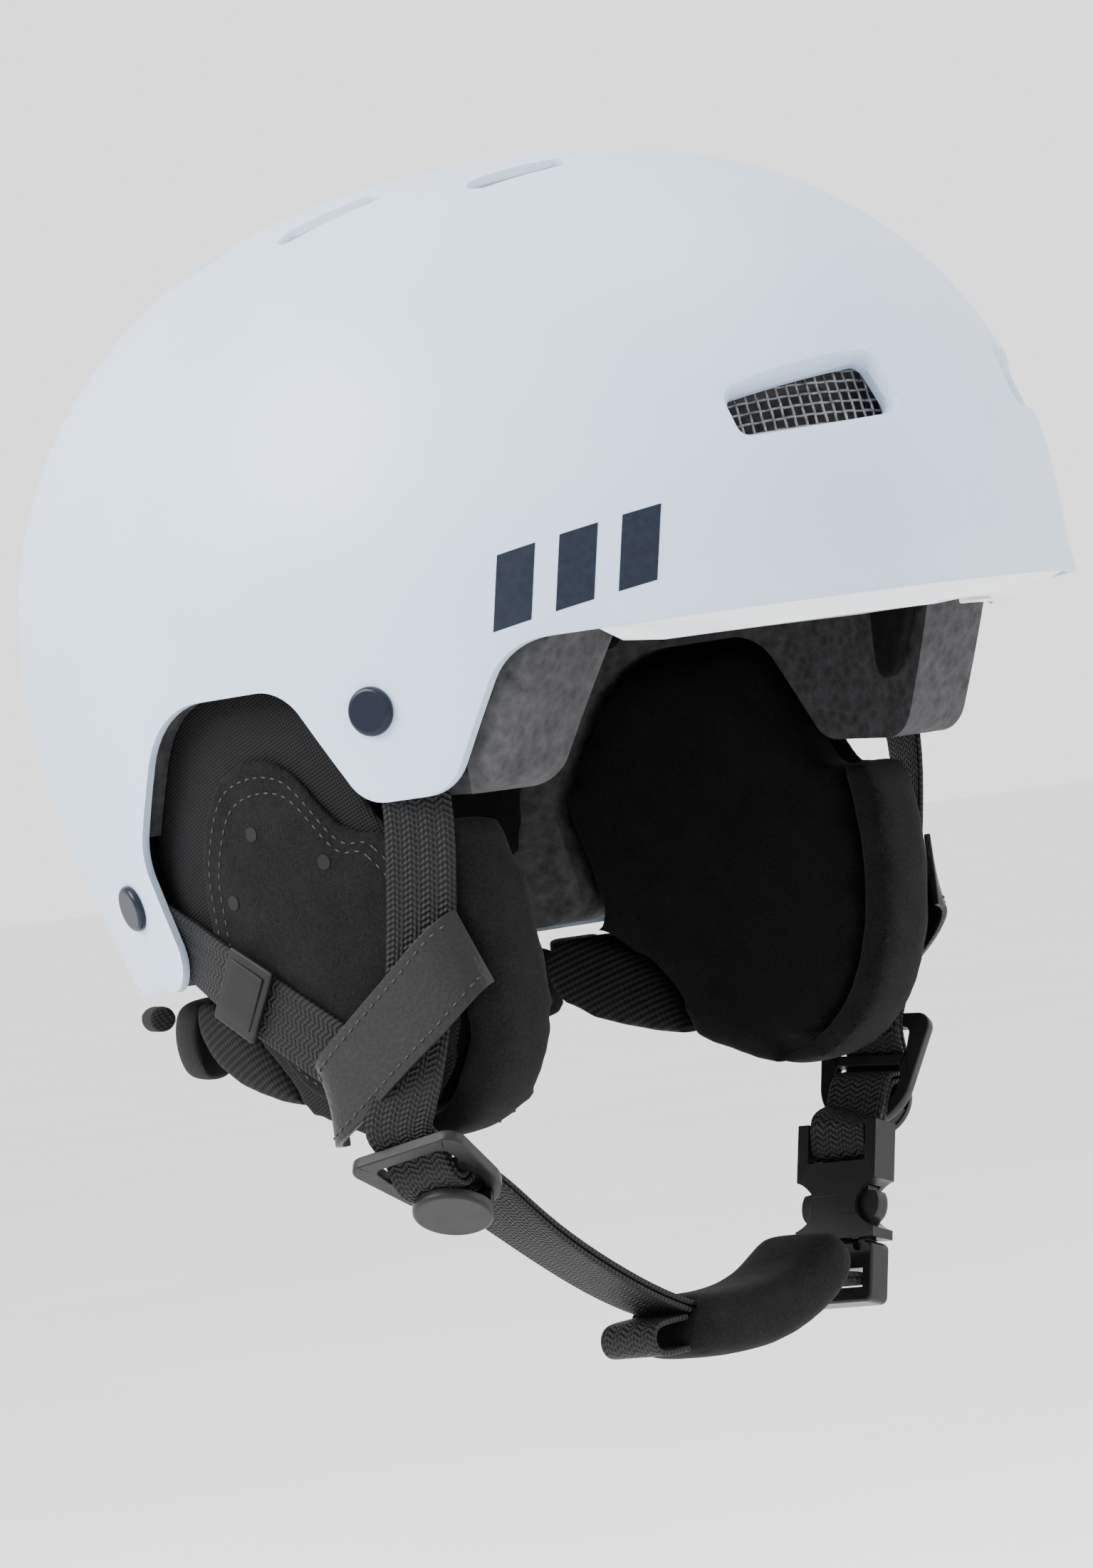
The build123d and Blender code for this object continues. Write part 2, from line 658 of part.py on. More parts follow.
DIVIDER_PLANES = {-1: divider_plane(RIGHT_DIVIDER, CHIN_DIRECTION, CHIN_TURN),
                  1: divider_plane(LEFT_DIVIDER, LEFT_DIRECTION, LEFT_TURN)}
for side, name in BOTH_SIDES:
    plane = DIVIDER_PLANES[side]
    with BuildPart() as strap_divider:
        with BuildSketch(plane.offset(-PLATE_THICK / 2)):
            with Locations((-12, 10), (12, 10)):
                Circle(4)
            with Locations((0, -5)):
                Circle(13.5)
            make_hull()
            with Locations((0, -5)):
                Circle(9.8, mode=Mode.SUBTRACT)
            with Locations((0, (BAR_LOW + WINDOW_TOP) / 2)):
                Rectangle(22, WINDOW_TOP - BAR_LOW)
            with Locations((0, (BAR_HIGH + WINDOW_TOP) / 2)):
                RectangleRounded(20.6, WINDOW_TOP - BAR_HIGH, 2, mode=Mode.SUBTRACT)
        extrude(amount=PLATE_THICK)
    save(strap_divider, f"strap_divider_{name}")

    with BuildPart() as divider_cap:
        with BuildSketch(plane.offset(PLATE_THICK / 2 + 4.2)):
            with Locations((0, CAP_Y)):
                Circle(10)
        extrude(amount=2.4)
        fillet(divider_cap.edges().sort_by(Axis(plane.origin, plane.z_dir))[-1], 1.0)
        with BuildSketch(plane.offset(PLATE_THICK / 2)):
            with Locations((0, CAP_Y)):
                Circle(9.6)
                Circle(7.6, mode=Mode.SUBTRACT)
            with Locations((0, 0)):
                Rectangle(40, 22, mode=Mode.SUBTRACT)
        extrude(amount=4.2)
    save(divider_cap, f"divider_cap_{name}")

    with BuildPart() as strap_fold:
        add(fold(plane, FRONT_FOLD))
        add(fold(plane, REAR_FOLD))
    save(strap_fold, f"strap_fold_{name}")


# ---------------------------------------------------------------- buckle

BUCKLE_LEAN = degrees(atan2(PIVOT_Z - MOUTH_Z, MOUTH_X - PIVOT_X))
buckle_up = Vector(sin(radians(BUCKLE_LEAN)), 0, cos(radians(BUCKLE_LEAN)))
buckle_plane = Plane((MOUTH_X, HARNESS_Y, MOUTH_Z), x_dir=(0, -1, 0),
                     z_dir=Vector(0, -1, 0).cross(buckle_up))
BUCKLE_HALF = 12.5
BUCKLE_THICK = 9.0
BUCKLE_LONG = 31.0
SLOT_LOW, SLOT_HIGH = 20.5, 24.0
BAR_TOP = 27.5
CAVITY_HALF = 9.6
CAVITY_LONG = 19.0
CAVITY_THICK = 5.4

with BuildPart() as buckle_female:
    with BuildSketch(buckle_plane.offset(-BUCKLE_THICK / 2)):
        for flip in (0, 1):
            with BuildLine() as half:
                waist = Spline((BUCKLE_HALF, 2.6), (8.2, 5.2), (6.2, 8.6), (7.6, 12.2), (BUCKLE_HALF, 15.6))
                Polyline(waist @ 1, (BUCKLE_HALF, BUCKLE_LONG), (9.2, BUCKLE_LONG), (9.2, BAR_TOP),
                         (0, BAR_TOP), (0, 0), (BUCKLE_HALF, 0), waist @ 0)
            with BuildSketch(mode=Mode.PRIVATE) as half_face:
                add(half.line)
                make_face()
            if flip:
                add(mirror(half_face.sketch, about=Plane.YZ, mode=Mode.PRIVATE))
            else:
                add(half_face.sketch)
        with Locations((0, (SLOT_LOW + SLOT_HIGH) / 2)):
            RectangleRounded(18.4, SLOT_HIGH - SLOT_LOW, 1.0, mode=Mode.SUBTRACT)
    extrude(amount=BUCKLE_THICK)
    with BuildSketch(buckle_plane.offset(-CAVITY_THICK / 2)):
        with Locations((0, CAVITY_LONG / 2 - 1)):
            Rectangle(2 * CAVITY_HALF, CAVITY_LONG + 2)
    extrude(amount=CAVITY_THICK, mode=Mode.SUBTRACT)
    # The bar is thinner than the cheeks, so the webbing lies between them
    for face_z in (-BUCKLE_THICK / 2, BUCKLE_THICK / 2 - 2.2):
        with BuildSketch(buckle_plane.offset(face_z)):
            with Locations((0, (SLOT_HIGH + BAR_TOP) / 2 + 1)):
                Rectangle(18.4, BAR_TOP - SLOT_HIGH + 3)
        extrude(amount=2.2, mode=Mode.SUBTRACT)
save(buckle_female, "buckle_female")

MALE_GAP = 0.8
MALE_LONG = 17.0
PRONG_ROOT_X = 7.6
with BuildPart() as buckle_male:
    with BuildSketch(buckle_plane.offset(-4.0)):
        with Locations((0, -(MALE_GAP + MALE_LONG) / 2)):
            RectangleRounded(24, MALE_LONG - MALE_GAP, 2.0)
        with Locations((0, -10.6)):
            Rectangle(18.4, 5.0, mode=Mode.SUBTRACT)
    extrude(amount=8.0)
    fillet(buckle_male.edges().filter_by(GeomType.CIRCLE), 0.8)
    with BuildSketch(buckle_plane.offset(-0.8)):
        with Locations((0, 6.0)):
            Rectangle(4.0, 15.2)
    extrude(amount=1.6)
    # Seats that the prongs spring from
    with BuildSketch(buckle_plane.offset(-4.5)):
        with Locations((-PRONG_ROOT_X, -1.6), (PRONG_ROOT_X, -1.6)):
            Circle(1.9)
    extrude(amount=9.0, mode=Mode.SUBTRACT)
save(buckle_male, "buckle_male")

for hand, name in ((1, "front"), (-1, "rear")):
    with BuildPart() as buckle_prong:
        with BuildSketch(buckle_plane.offset(-2.2)):
            with BuildLine():
                Spline((hand * 9.0, 0.6), (hand * 9.2, 3.8), (hand * 11.4, 6.0), (hand * 12.3, 9.0),
                       (hand * 11.4, 12.4))
                Polyline((hand * 11.4, 12.4), (hand * 9.0, 12.8), (hand * 8.6, 17.2), (hand * 6.4, 17.2),
                         (hand * 6.2, 0.6), (hand * 9.0, 0.6))
            make_face()
            with Locations((hand * PRONG_ROOT_X, -1.6)):
                Circle(1.7)
            with Locations((hand * PRONG_ROOT_X, -0.4)):
                Rectangle(2.6, 3.2)
        extrude(amount=4.4)
    save(buckle_prong, f"buckle_prong_{name}")

# Short doubled loop from the left divider round the bar of the female buckle
left_plane = DIVIDER_PLANES[1]
with BuildPart() as left_buckle_loop:
    for level, sign, bulge in ((-2.6, -1, 3.4), (-4.4, 1, 4.2)):
        leave = left_plane.from_local_coords(Vector(0, -12.4, level))
        after = left_plane.from_local_coords(Vector(0, -17.0, level - 0.2))
        across = buckle_plane.z_dir * -1
        add(strap([(leave, left_plane.z_dir), (after, left_plane.z_dir),
                   *[(buckle_plane.from_local_coords(Vector(0, y, sign * z)), face) for y, z, face in (
                       (30.5, bulge, across), (26.0, 3.5, across), (23.6, 3.4, across),
                       (22.4, 2.2, across + buckle_plane.y_dir * sign),
                       (22.0, 0.85, buckle_plane.y_dir * sign))]]))
save(left_buckle_loop, "left_buckle_loop")


# ---------------------------------------------------------------- chin strap

right_plane = DIVIDER_PLANES[-1]
WEB_MIDDLE = [(-60.0, -130.2), (-40.0, -142.4), (-20.0, -152.8), (0.0, -160.2), (20.0, -163.4),
              (38.0, -162.0), (50.0, -158.5)]


def chin_stations(lift):
    """Stations of one layer of the chin webbing, lifted off the middle of the pair."""
    stations = [(right_plane.from_local_coords(Vector(0, -12.4, -3.5 + lift)), right_plane.z_dir),
                (right_plane.from_local_coords(Vector(0, -20, -3.5 + lift)), right_plane.z_dir)]
    for index, (x, z) in enumerate(WEB_MIDDLE):
        low, high = max(index - 1, 0), min(index + 1, len(WEB_MIDDLE) - 1)
        run = Vector(WEB_MIDDLE[high][0] - WEB_MIDDLE[low][0], 0,
                     WEB_MIDDLE[high][1] - WEB_MIDDLE[low][1]).normalized()
        down = Vector(run.Z, 0, -run.X)
        stations.append((Vector(x, HARNESS_Y, z) + down * lift, down))
    end = buckle_plane.from_local_coords(Vector(0, -10.6 - lift * 0.9, 0.5))
    before = buckle_plane.from_local_coords(Vector(0, -10.6 - lift * 0.9, 6.0))
    ahead = (end - before).normalized()
    return stations + [(before, ahead.cross(Vector(0, 1, 0)) * -1), (end, ahead.cross(Vector(0, 1, 0)) * -1)]


with BuildPart() as chin_webbing:
    for lift in (-0.9, 0.9):
        add(strap(chin_stations(lift)))
save(chin_webbing, "chin_webbing")

# Fleece sleeve over the webbing: x, z, width, thickness
CHIN_PAD = [(-13.0, -160.5, 22.0, 13.0), (-8.0, -161.5, 26.0, 17.0), (8.0, -163.0, 29.0, 18.0),
            (26.0, -162.5, 30.0, 18.0), (42.0, -158.5, 30.0, 18.0), (53.0, -152.8, 29.0, 17.0),
            (57.0, -149.6, 25.0, 12.0)]
with BuildPart() as chin_pad:
    for index, (x, z, width, thick) in enumerate(CHIN_PAD):
        low, high = CHIN_PAD[max(index - 1, 0)], CHIN_PAD[min(index + 1, len(CHIN_PAD) - 1)]
        run = Vector(high[0] - low[0], 0, high[1] - low[1])
        with BuildSketch(Plane((x, HARNESS_Y, z), x_dir=(0, -1, 0), z_dir=run)):
            RectangleRounded(width, thick, thick * 0.42)
    loft()
    with BuildPart(mode=Mode.PRIVATE) as webbing_way:
        add(strap(chin_stations(0.0)[1:], WEBBING_WIDTH + 1.4, 4.6))
    add(webbing_way.part, mode=Mode.SUBTRACT)
save(chin_pad, "chin_pad")

# Folded free ends of the webbing, rolled beside the end of the chin pad
with BuildPart() as webbing_tail:
    with BuildSketch(Plane((-19.4, HARNESS_Y + WEBBING_WIDTH / 2, -162.8), x_dir=(1, 0, 0),
                           z_dir=(0, -1, 0))):
        SlotOverall(18, 8.6)
        SlotOverall(15, 5.6, mode=Mode.SUBTRACT)
        with Locations((9, 0)):
            Rectangle(10, 10, mode=Mode.SUBTRACT)
    extrude(amount=WEBBING_WIDTH)
save(webbing_tail, "webbing_tail")
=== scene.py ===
import math

import bmesh
import bpy
from mathutils import Matrix, Vector
from mathutils.bvhtree import BVHTree


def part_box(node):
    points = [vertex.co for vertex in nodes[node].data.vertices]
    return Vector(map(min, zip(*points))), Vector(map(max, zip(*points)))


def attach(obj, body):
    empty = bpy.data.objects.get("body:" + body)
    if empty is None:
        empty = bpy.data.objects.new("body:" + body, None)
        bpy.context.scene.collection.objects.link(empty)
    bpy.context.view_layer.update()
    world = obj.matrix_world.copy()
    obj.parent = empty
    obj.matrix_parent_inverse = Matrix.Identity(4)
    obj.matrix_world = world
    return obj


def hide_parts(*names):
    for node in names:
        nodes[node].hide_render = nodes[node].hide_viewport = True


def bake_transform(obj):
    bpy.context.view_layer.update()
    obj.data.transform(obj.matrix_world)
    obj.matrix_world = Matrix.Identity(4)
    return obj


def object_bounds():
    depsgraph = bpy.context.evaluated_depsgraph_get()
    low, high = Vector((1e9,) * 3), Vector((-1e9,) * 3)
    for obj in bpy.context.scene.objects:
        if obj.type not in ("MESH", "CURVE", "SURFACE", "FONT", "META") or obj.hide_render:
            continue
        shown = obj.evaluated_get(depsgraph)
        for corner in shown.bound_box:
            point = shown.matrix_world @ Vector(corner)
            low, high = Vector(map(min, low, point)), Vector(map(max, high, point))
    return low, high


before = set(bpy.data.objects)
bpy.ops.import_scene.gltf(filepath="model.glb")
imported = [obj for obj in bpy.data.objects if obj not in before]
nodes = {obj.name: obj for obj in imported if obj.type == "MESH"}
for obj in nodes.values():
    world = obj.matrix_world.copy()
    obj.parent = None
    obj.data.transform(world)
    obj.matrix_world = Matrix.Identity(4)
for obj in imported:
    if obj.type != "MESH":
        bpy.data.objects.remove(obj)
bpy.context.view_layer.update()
MM = 0.001

# ---- Camera, floor and light
# A long lens beside the wearer's right temple, leaning a little, over a plain pale floor. The light
# is a soft white room with one large lamp high on the wearer's right and one above the crown.
swing, lift, lean = (math.radians(angle) for angle in (-52.84, -0.99, 8.03))
back = Vector((math.sin(swing) * math.cos(lift), -math.cos(swing) * math.cos(lift), math.sin(lift)))
level = Vector((math.cos(swing), math.sin(swing), 0))
upright = back.cross(level)
across = level * math.cos(lean) - upright * math.sin(lean)
above = level * math.sin(lean) + upright * math.cos(lean)
camera = bpy.data.objects.new("camera", bpy.data.cameras.new("camera"))
camera.data.lens = 144.6
camera.data.sensor_fit = "AUTO"
camera.data.sensor_width = 36
camera.data.clip_start = 0.1
stand = back * 1.6032
target = across * -3.56 * MM + above * -22.26 * MM
away = (stand - target).normalized()
side_way = across - away * across.dot(away)
side_way.normalize()
turn = Matrix((side_way, away.cross(side_way), away)).transposed().to_4x4()
camera.matrix_world = Matrix.Translation(stand) @ turn
bpy.context.scene.collection.objects.link(camera)
bpy.context.scene.camera = camera

world = bpy.data.worlds.new("white_room")
world.use_nodes = True
world.node_tree.nodes["Background"].inputs["Color"].default_value = (1.0, 1.0, 1.0, 1)
world.node_tree.nodes["Background"].inputs["Strength"].default_value = 1.9
bpy.context.scene.world = world
for name, place, size, power in (("lamp_right", (-1.0, 0.55, 0.75), 0.9, 34),
                                 ("lamp_above", (0.1, -0.2, 1.5), 1.2, 14),
                                 ("lamp_front", (0.7, -1.3, 0.5), 0.8, 7)):
    lamp = bpy.data.objects.new(name, bpy.data.lights.new(name, "AREA"))
    lamp.data.size = size
    lamp.data.energy = power
    lamp.matrix_world = Matrix.Translation(place) @ Vector(place).to_track_quat("Z", "Y").to_matrix().to_4x4()
    bpy.context.scene.collection.objects.link(lamp)


# ---- Hard shell
# A pressed shell of satin lacquer over plastic, with rounded cut edges and framed vents. The CAD
# shell stays; its edges are rounded, and the lacquer has a faint orange peel.
class Value:
    """A socket of a finish, with plain arithmetic."""

    def __init__(self, finish, socket):
        self.finish, self.socket = finish, socket

    def sum(self, operation, *others):
        return self.finish.make("Math", dict(enumerate((self, *others))), operation=operation)

    def __add__(self, other): return self.sum("ADD", other)
    def __radd__(self, other): return self.sum("ADD", other)
    def __sub__(self, other): return self.sum("SUBTRACT", other)
    def __rsub__(self, other): return self.finish.make("Math", {0: other, 1: self}, operation="SUBTRACT")
    def __mul__(self, other): return self.sum("MULTIPLY", other)
    def __rmul__(self, other): return self.sum("MULTIPLY", other)
    def __truediv__(self, other): return self.sum("DIVIDE", other)
    def wave(self): return self.sum("SINE")
    def size(self): return self.sum("ABSOLUTE")
    def fraction(self): return self.sum("FRACT")
    def above(self, other): return self.sum("GREATER_THAN", other)


class Finish:
    """One material: a shader whose sockets are set or fed from worked-out values."""

    def __init__(self, name, **fixed):
        self.material = bpy.data.materials.new(name)
        self.material.use_nodes = True
        self.tree = self.material.node_tree
        self.shader = self.tree.nodes["Principled BSDF"]
        for socket, value in fixed.items():
            self.shader.inputs[socket.replace("_", " ").title().replace("Ior", "IOR")].default_value = value

    def make(self, kind, values=(), output=0, stops=(), **settings):
        """Any node: its type, its settings and the values or links of its sockets."""
        node = self.tree.nodes.new("ShaderNode" + kind)
        for setting, value in settings.items():
            setattr(node, setting, value)
        for index, (place, colour) in enumerate(stops):
            ramp = node.color_ramp.elements
            stop = ramp[index] if index < 2 else ramp.new(place)
            stop.position, stop.color = place, (*colour, 1)
        for socket, value in dict(values).items():
            if isinstance(value, Value):
                self.tree.links.new(value.socket, node.inputs[socket])
            else:
                node.inputs[socket].default_value = value
        return Value(self, node.outputs[output])

    def place(self):
        return self.make("TexCoord", output="Object")

    def axes(self, vector):
        return [self.make("SeparateXYZ", {0: vector}, output=axis) for axis in "XYZ"]

    def noise(self, vector, scale, detail=3.0, rough=0.5):
        return self.make("TexNoise", {"Vector": vector, "Scale": scale, "Detail": detail, "Roughness": rough})

    def cells(self, vector, scale, output="Distance"):
        return self.make("TexVoronoi", {"Vector": vector, "Scale": scale}, output=output)

    def colours(self, mask, *stops):
        self.feed("Base Color", self.make("ValToRGB", {0: mask}, stops=stops))

    def bump(self, height, depth, strength=1.0):
        self.feed("Normal", self.make("Bump", {"Height": height, "Distance": depth, "Strength": strength}))

    def feed(self, socket, value):
        self.tree.links.new(value.socket, self.shader.inputs[socket])


def lacquer():
    finish = Finish("satin_lacquer", roughness=0.42, coat_weight=0.12, coat_roughness=0.35)
    spot = finish.place()
    finish.colours(finish.noise(spot, 14, 2), (0.3, (0.44, 0.55, 0.70)), (0.7, (0.49, 0.60, 0.745)))
    finish.feed("Roughness", finish.noise(spot, 900, 2) * 0.1 + 0.38)
    finish.bump(finish.noise(spot, 1500, 2), 0.00004, 0.35)
    return finish.material


def dress(node, material, edge=0.0, angle=35):
    """Give a CAD node its finish, and round its sharp edges."""
    piece = nodes[node]
    piece.data.materials.clear()
    piece.data.materials.append(material)
    if edge:
        weld = piece.modifiers.new("weld", "WELD")
        weld.merge_threshold = 0.00001
        round_off = piece.modifiers.new("edges", "BEVEL")
        round_off.width = edge
        round_off.segments = 3
        round_off.limit_method = "ANGLE"
        round_off.angle_limit = math.radians(angle)
        round_off.harden_normals = True
    return piece


dress("shell", lacquer(), 0.0009, 50)


# ---- Printed mark
# A plain graphic of three slanted bars is printed in dark ink over the right temple.
def surface(node):
    """The faces of a CAD node, for resting things on."""
    shape = bmesh.new()
    shape.from_mesh(nodes[node].data)
    tree = BVHTree.FromBMesh(shape)
    shape.free()
    return tree


ink = Finish("dark_ink", roughness=0.45, specular_ior_level=0.2)
ink.colours(ink.noise(ink.place(), 500), (0.3, (0.004, 0.007, 0.016)), (0.7, (0.008, 0.012, 0.024)))
shell_skin = surface("shell")
mark_face = Vector((-0.80, -0.58, 0.12)).normalized()
mark_along = Vector((0.585, -0.80, 0.15))
mark_along = (mark_along - mark_face * mark_along.dot(mark_face)).normalized()
mark_up = mark_face.cross(mark_along)
shape = bmesh.new()
for number in range(3):
    bar = bmesh.ops.create_grid(shape, x_segments=8, y_segments=8, size=0.5)["verts"]
    for vert in bar:
        reach = (number - 1) * 15.5 + vert.co.x * 9.5 + vert.co.y * 6
        start = Vector((-0.0915, -0.0795, 0.0275)) + (mark_along * reach + mark_up * vert.co.y * 17) * MM
        hit, normal, _, _ = shell_skin.ray_cast(start + mark_face * 0.06, -mark_face, 0.12)
        vert.co = hit + normal * 0.00006
mesh = bpy.data.meshes.new("printed_bars")
shape.to_mesh(mesh)
shape.free()
bars = bpy.data.objects.new("printed_bars", mesh)
film = bars.modifiers.new("film", "SOLIDIFY")
film.thickness = 0.0001
film.offset = 0
mesh.materials.append(ink.material)
bpy.context.scene.collection.objects.link(bars)
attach(bars, "helmet")


# ---- Rivets
# Domed plastic caps with their shanks hold the straps to the shell. The washers inside are plain
# steel.
def moulded(name, colour, rough, grain=900, depth=0.00003, tint=1.25):
    finish = Finish(name, roughness=rough, specular_ior_level=0.22)
    spot = finish.place()
    finish.colours(finish.noise(spot, 60, 3), (0.3, colour), (0.75, tuple(c * tint for c in colour)))
    finish.feed("Roughness", finish.noise(spot, 220, 2) * 0.12 + (rough - 0.06))
    finish.bump(finish.noise(spot, grain, 2), depth, 0.5)
    return finish.material


dress("rivet_caps", moulded("rivet_plastic", (0.004, 0.0065, 0.014), 0.2), 0.0003)
steel = Finish("plain_steel", metallic=1.0, roughness=0.35)
steel.colours(steel.noise(steel.place(), 400), (0.3, (0.45, 0.46, 0.48)), (0.7, (0.6, 0.61, 0.63)))
dress("rivet_washers", steel.material)


# ---- Brim underside and air scoop
# A white moulded crescent closes the brim from below, and a dark scoop in its middle takes air in.
gloss = Finish("white_moulding", roughness=0.2, coat_weight=0.4, coat_roughness=0.12)
gloss.colours(gloss.noise(gloss.place(), 20), (0.3, (0.78, 0.81, 0.84)), (0.7, (0.86, 0.88, 0.9)))
gloss.bump(gloss.noise(gloss.place(), 700), 0.00003, 0.3)
dress("brim_underside", gloss.material, 0.0005)
dress("air_scoop", moulded("scoop_plastic", (0.03, 0.034, 0.042), 0.35), 0.0003)


# ---- Foam liner
# Grey expanded foam, moulded from beads, fills the shell and shows at the temples and in the vents.
foam = Finish("bead_foam", roughness=0.75, specular_ior_level=0.3)
spot = foam.place()
bead = foam.cells(spot, 330)
foam.colours(bead * 0.25 + foam.noise(spot, 190, 5, 0.7) * 0.9,
             (0.3, (0.006, 0.006, 0.0066)), (0.85, (0.050, 0.050, 0.053)))
foam.bump(1 - bead + foam.noise(spot, 500, 3), 0.0003, 0.6)
dress("foam_liner", foam.material)


# ---- Wire mesh behind the front vents
# Black lacquered wire woven plain, one wire over and one under, pressed to the curve of the foam.
WIRE_PITCH = 2.7 * MM
WIRE = 0.4 * MM
wire_finish = Finish("black_wire", metallic=0.6, roughness=0.34)
wire_finish.colours(wire_finish.noise(wire_finish.place(), 700),
                    (0.3, (0.05, 0.05, 0.053)), (0.7, (0.20, 0.20, 0.21)))


for side, hand in ((-1, "right"), (1, "left")):
    panel = f"front_vent_mesh_{hand}"
    low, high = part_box(panel)
    middle = (low + high) / 2
    outward = Vector((side * 0.42, -0.80, 0.42)).normalized()
    run = Vector((0.88 * -side, -0.48, 0))
    run = (run - outward * run.dot(outward)).normalized()
    rise = outward.cross(run)
    skin = surface(panel)
    wires = bpy.data.curves.new(f"vent_wire_{hand}", "CURVE")
    wires.dimensions = "3D"
    wires.bevel_depth = WIRE
    wires.bevel_resolution = 1
    wires.resolution_u = 3
    for first, second in ((run, rise), (rise, run)):
        for i in range(-18, 19):
            path = []
            for j in range(-18, 19):
                start = middle + first * (i + 0.5) * WIRE_PITCH + second * j * WIRE_PITCH + outward * 0.05
                hit, normal, _, _ = skin.ray_cast(start, -outward, 0.12)
                if hit:
                    over = 1 if (i + j + (first is rise)) % 2 else -1
                    path.append(hit + outward * (over * WIRE * 0.8 - 0.0006))
            if len(path) > 2:
                wire = wires.splines.new("NURBS")
                wire.points.add(len(path) - 1)
                for point, spot in zip(wire.points, path):
                    point.co = (*spot, 1)
                wire.order_u = 3
                wire.use_endpoint_u = True
    wire_mesh = bpy.data.objects.new(f"vent_wire_{hand}", wires)
    wires.materials.append(wire_finish.material)
    bpy.context.scene.collection.objects.link(wire_mesh)
    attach(wire_mesh, "helmet")
    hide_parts(panel)


# ---- Comfort lining
# Brushed knit over foam, stuck inside the liner: a brow pad, two side pads, a rear pad and a crown
# pad. Each starts from its place in the CAD and is rounded.
def brushed(name, deep, light, scale=1500, sheen=0.02, depth=0.00025):
    """Short fleece or brushed knit: a fine heathered nap."""
    finish = Finish(name, roughness=0.93, specular_ior_level=0.12, sheen_weight=sheen, sheen_roughness=0.45)
    spot = finish.place()
    nap = finish.noise(spot, scale, 3, 0.65)
    finish.colours(nap * 0.75 + finish.noise(spot, 130, 2) * 0.25, (0.36, deep), (0.68, light))
    finish.bump(nap + finish.noise(spot, scale * 0.25, 2) * 0.6, depth, 0.9)
    return finish.material


def stuffed(name, cad, voxel, body, material, shrink=0.0, rounds=6, push=3.0, limit=0.003):
    """A soft piece from its CAD solid: rounded, swollen a little by cloth, then smoothed."""
    shape = bmesh.new()
    for node in cad:
        shape.from_mesh(nodes[node].data)
    bmesh.ops.remove_doubles(shape, verts=shape.verts, dist=0.00002)
    mesh = bpy.data.meshes.new(name)
    shape.to_mesh(mesh)
    shape.free()
    piece = bpy.data.objects.new(name, mesh)
    bpy.context.scene.collection.objects.link(piece)
    remesh = piece.modifiers.new("even", "REMESH")
    remesh.mode = "VOXEL"
    remesh.voxel_size = voxel
    bake(piece)
    shape = bmesh.new()
    shape.from_mesh(piece.data)
    for _ in range(rounds):
        bmesh.ops.smooth_vert(shape, verts=shape.verts, factor=0.5, use_axis_x=True, use_axis_y=True,
                              use_axis_z=True)
    if shrink:
        shape.normal_update()
        for vert in shape.verts:
            vert.co -= vert.normal * shrink
    shape.to_mesh(piece.data)
    shape.free()
    if push:
        swell(piece, push, limit)
    soften = piece.modifiers.new("soften", "SUBSURF")
    soften.levels = soften.render_levels = 1
    for face in piece.data.polygons:
        face.use_smooth = True
    piece.data.materials.append(material)
    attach(piece, body)
    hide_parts(*cad)
    return piece


def bake(piece):
    """Turn a piece with its modifiers into plain mesh."""
    bpy.context.view_layer.update()
    seen = piece.evaluated_get(bpy.context.evaluated_depsgraph_get())
    done = bpy.data.meshes.new_from_object(seen)
    piece.modifiers.clear()
    piece.data = done


def swell(piece, push, limit):
    """Blow a closed pad up a little with cloth, and cap how far any point goes."""
    before = [vert.co.copy() for vert in piece.data.vertices]
    cloth = piece.modifiers.new("cloth", "CLOTH")
    cloth.settings.use_pressure = True
    cloth.settings.uniform_pressure_force = push
    cloth.settings.effector_weights.gravity = 0
    cloth.settings.quality = 4
    scene = bpy.context.scene
    for step in range(1, 11):
        scene.frame_set(step)
    bake(piece)
    scene.frame_set(1)
    for vert, start in zip(piece.data.vertices, before):
        move = vert.co - start
        if move.length > limit:
            vert.co = start + move.normalized() * limit


lining = brushed("brushed_lining", (0.0010, 0.0010, 0.0011), (0.0042, 0.0042, 0.0045), 1300, 0.01)
for pad in ("brow_pad", "side_pad_right", "side_pad_left", "rear_pad", "crown_pad"):
    stuffed(f"lining_{pad}", [pad], 0.0024, "helmet", lining, 0.0006, 5, 0)


# ---- Ear pads
# A foam core in fleece closes over the ear. Outside, woven cloth runs up under the shell, a fleece
# patch with punched holes is stitched over it, a thick fleece roll edges the front and ribbed knit
# covers the rear.
fleece = brushed("fleece", (0.0014, 0.0014, 0.0015), (0.0085, 0.0085, 0.009), 1700, 0.02)
core_fleece = brushed("inner_fleece", (0.0009, 0.0009, 0.001), (0.0040, 0.0040, 0.0043), 1500, 0.01)

woven = Finish("plain_weave", roughness=0.85, specular_ior_level=0.15)
spot = woven.place()
x, y, z = woven.axes(spot)
lean_by = woven.noise(spot, 40, 2) * 0.6
threads = ((y * 0.92 + z * 0.4) * 5200 + lean_by).wave() * ((z * 0.92 - y * 0.4) * 5200 + lean_by).wave()
woven.colours(threads * 0.5 + 0.5, (0.25, (0.0018, 0.0018, 0.002)), (0.85, (0.0115, 0.0115, 0.0125)))
woven.bump(threads, 0.00018, 0.9)

knit = Finish("ribbed_knit", roughness=0.88, specular_ior_level=0.15)
spot = knit.place()
x, y, z = knit.axes(spot)
ribs = ((y * 0.35 + z * 0.94) * 3600 + knit.noise(spot, 60, 2) * 1.2).wave()
rows = ((y * 0.94 - z * 0.35) * 5200).wave()
knit.colours(ribs * 0.5 + rows * 0.15 + 0.5, (0.2, (0.0018, 0.0018, 0.002)), (0.9, (0.009, 0.009, 0.0095)))
knit.bump(ribs + rows * 0.35, 0.00025, 0.8)

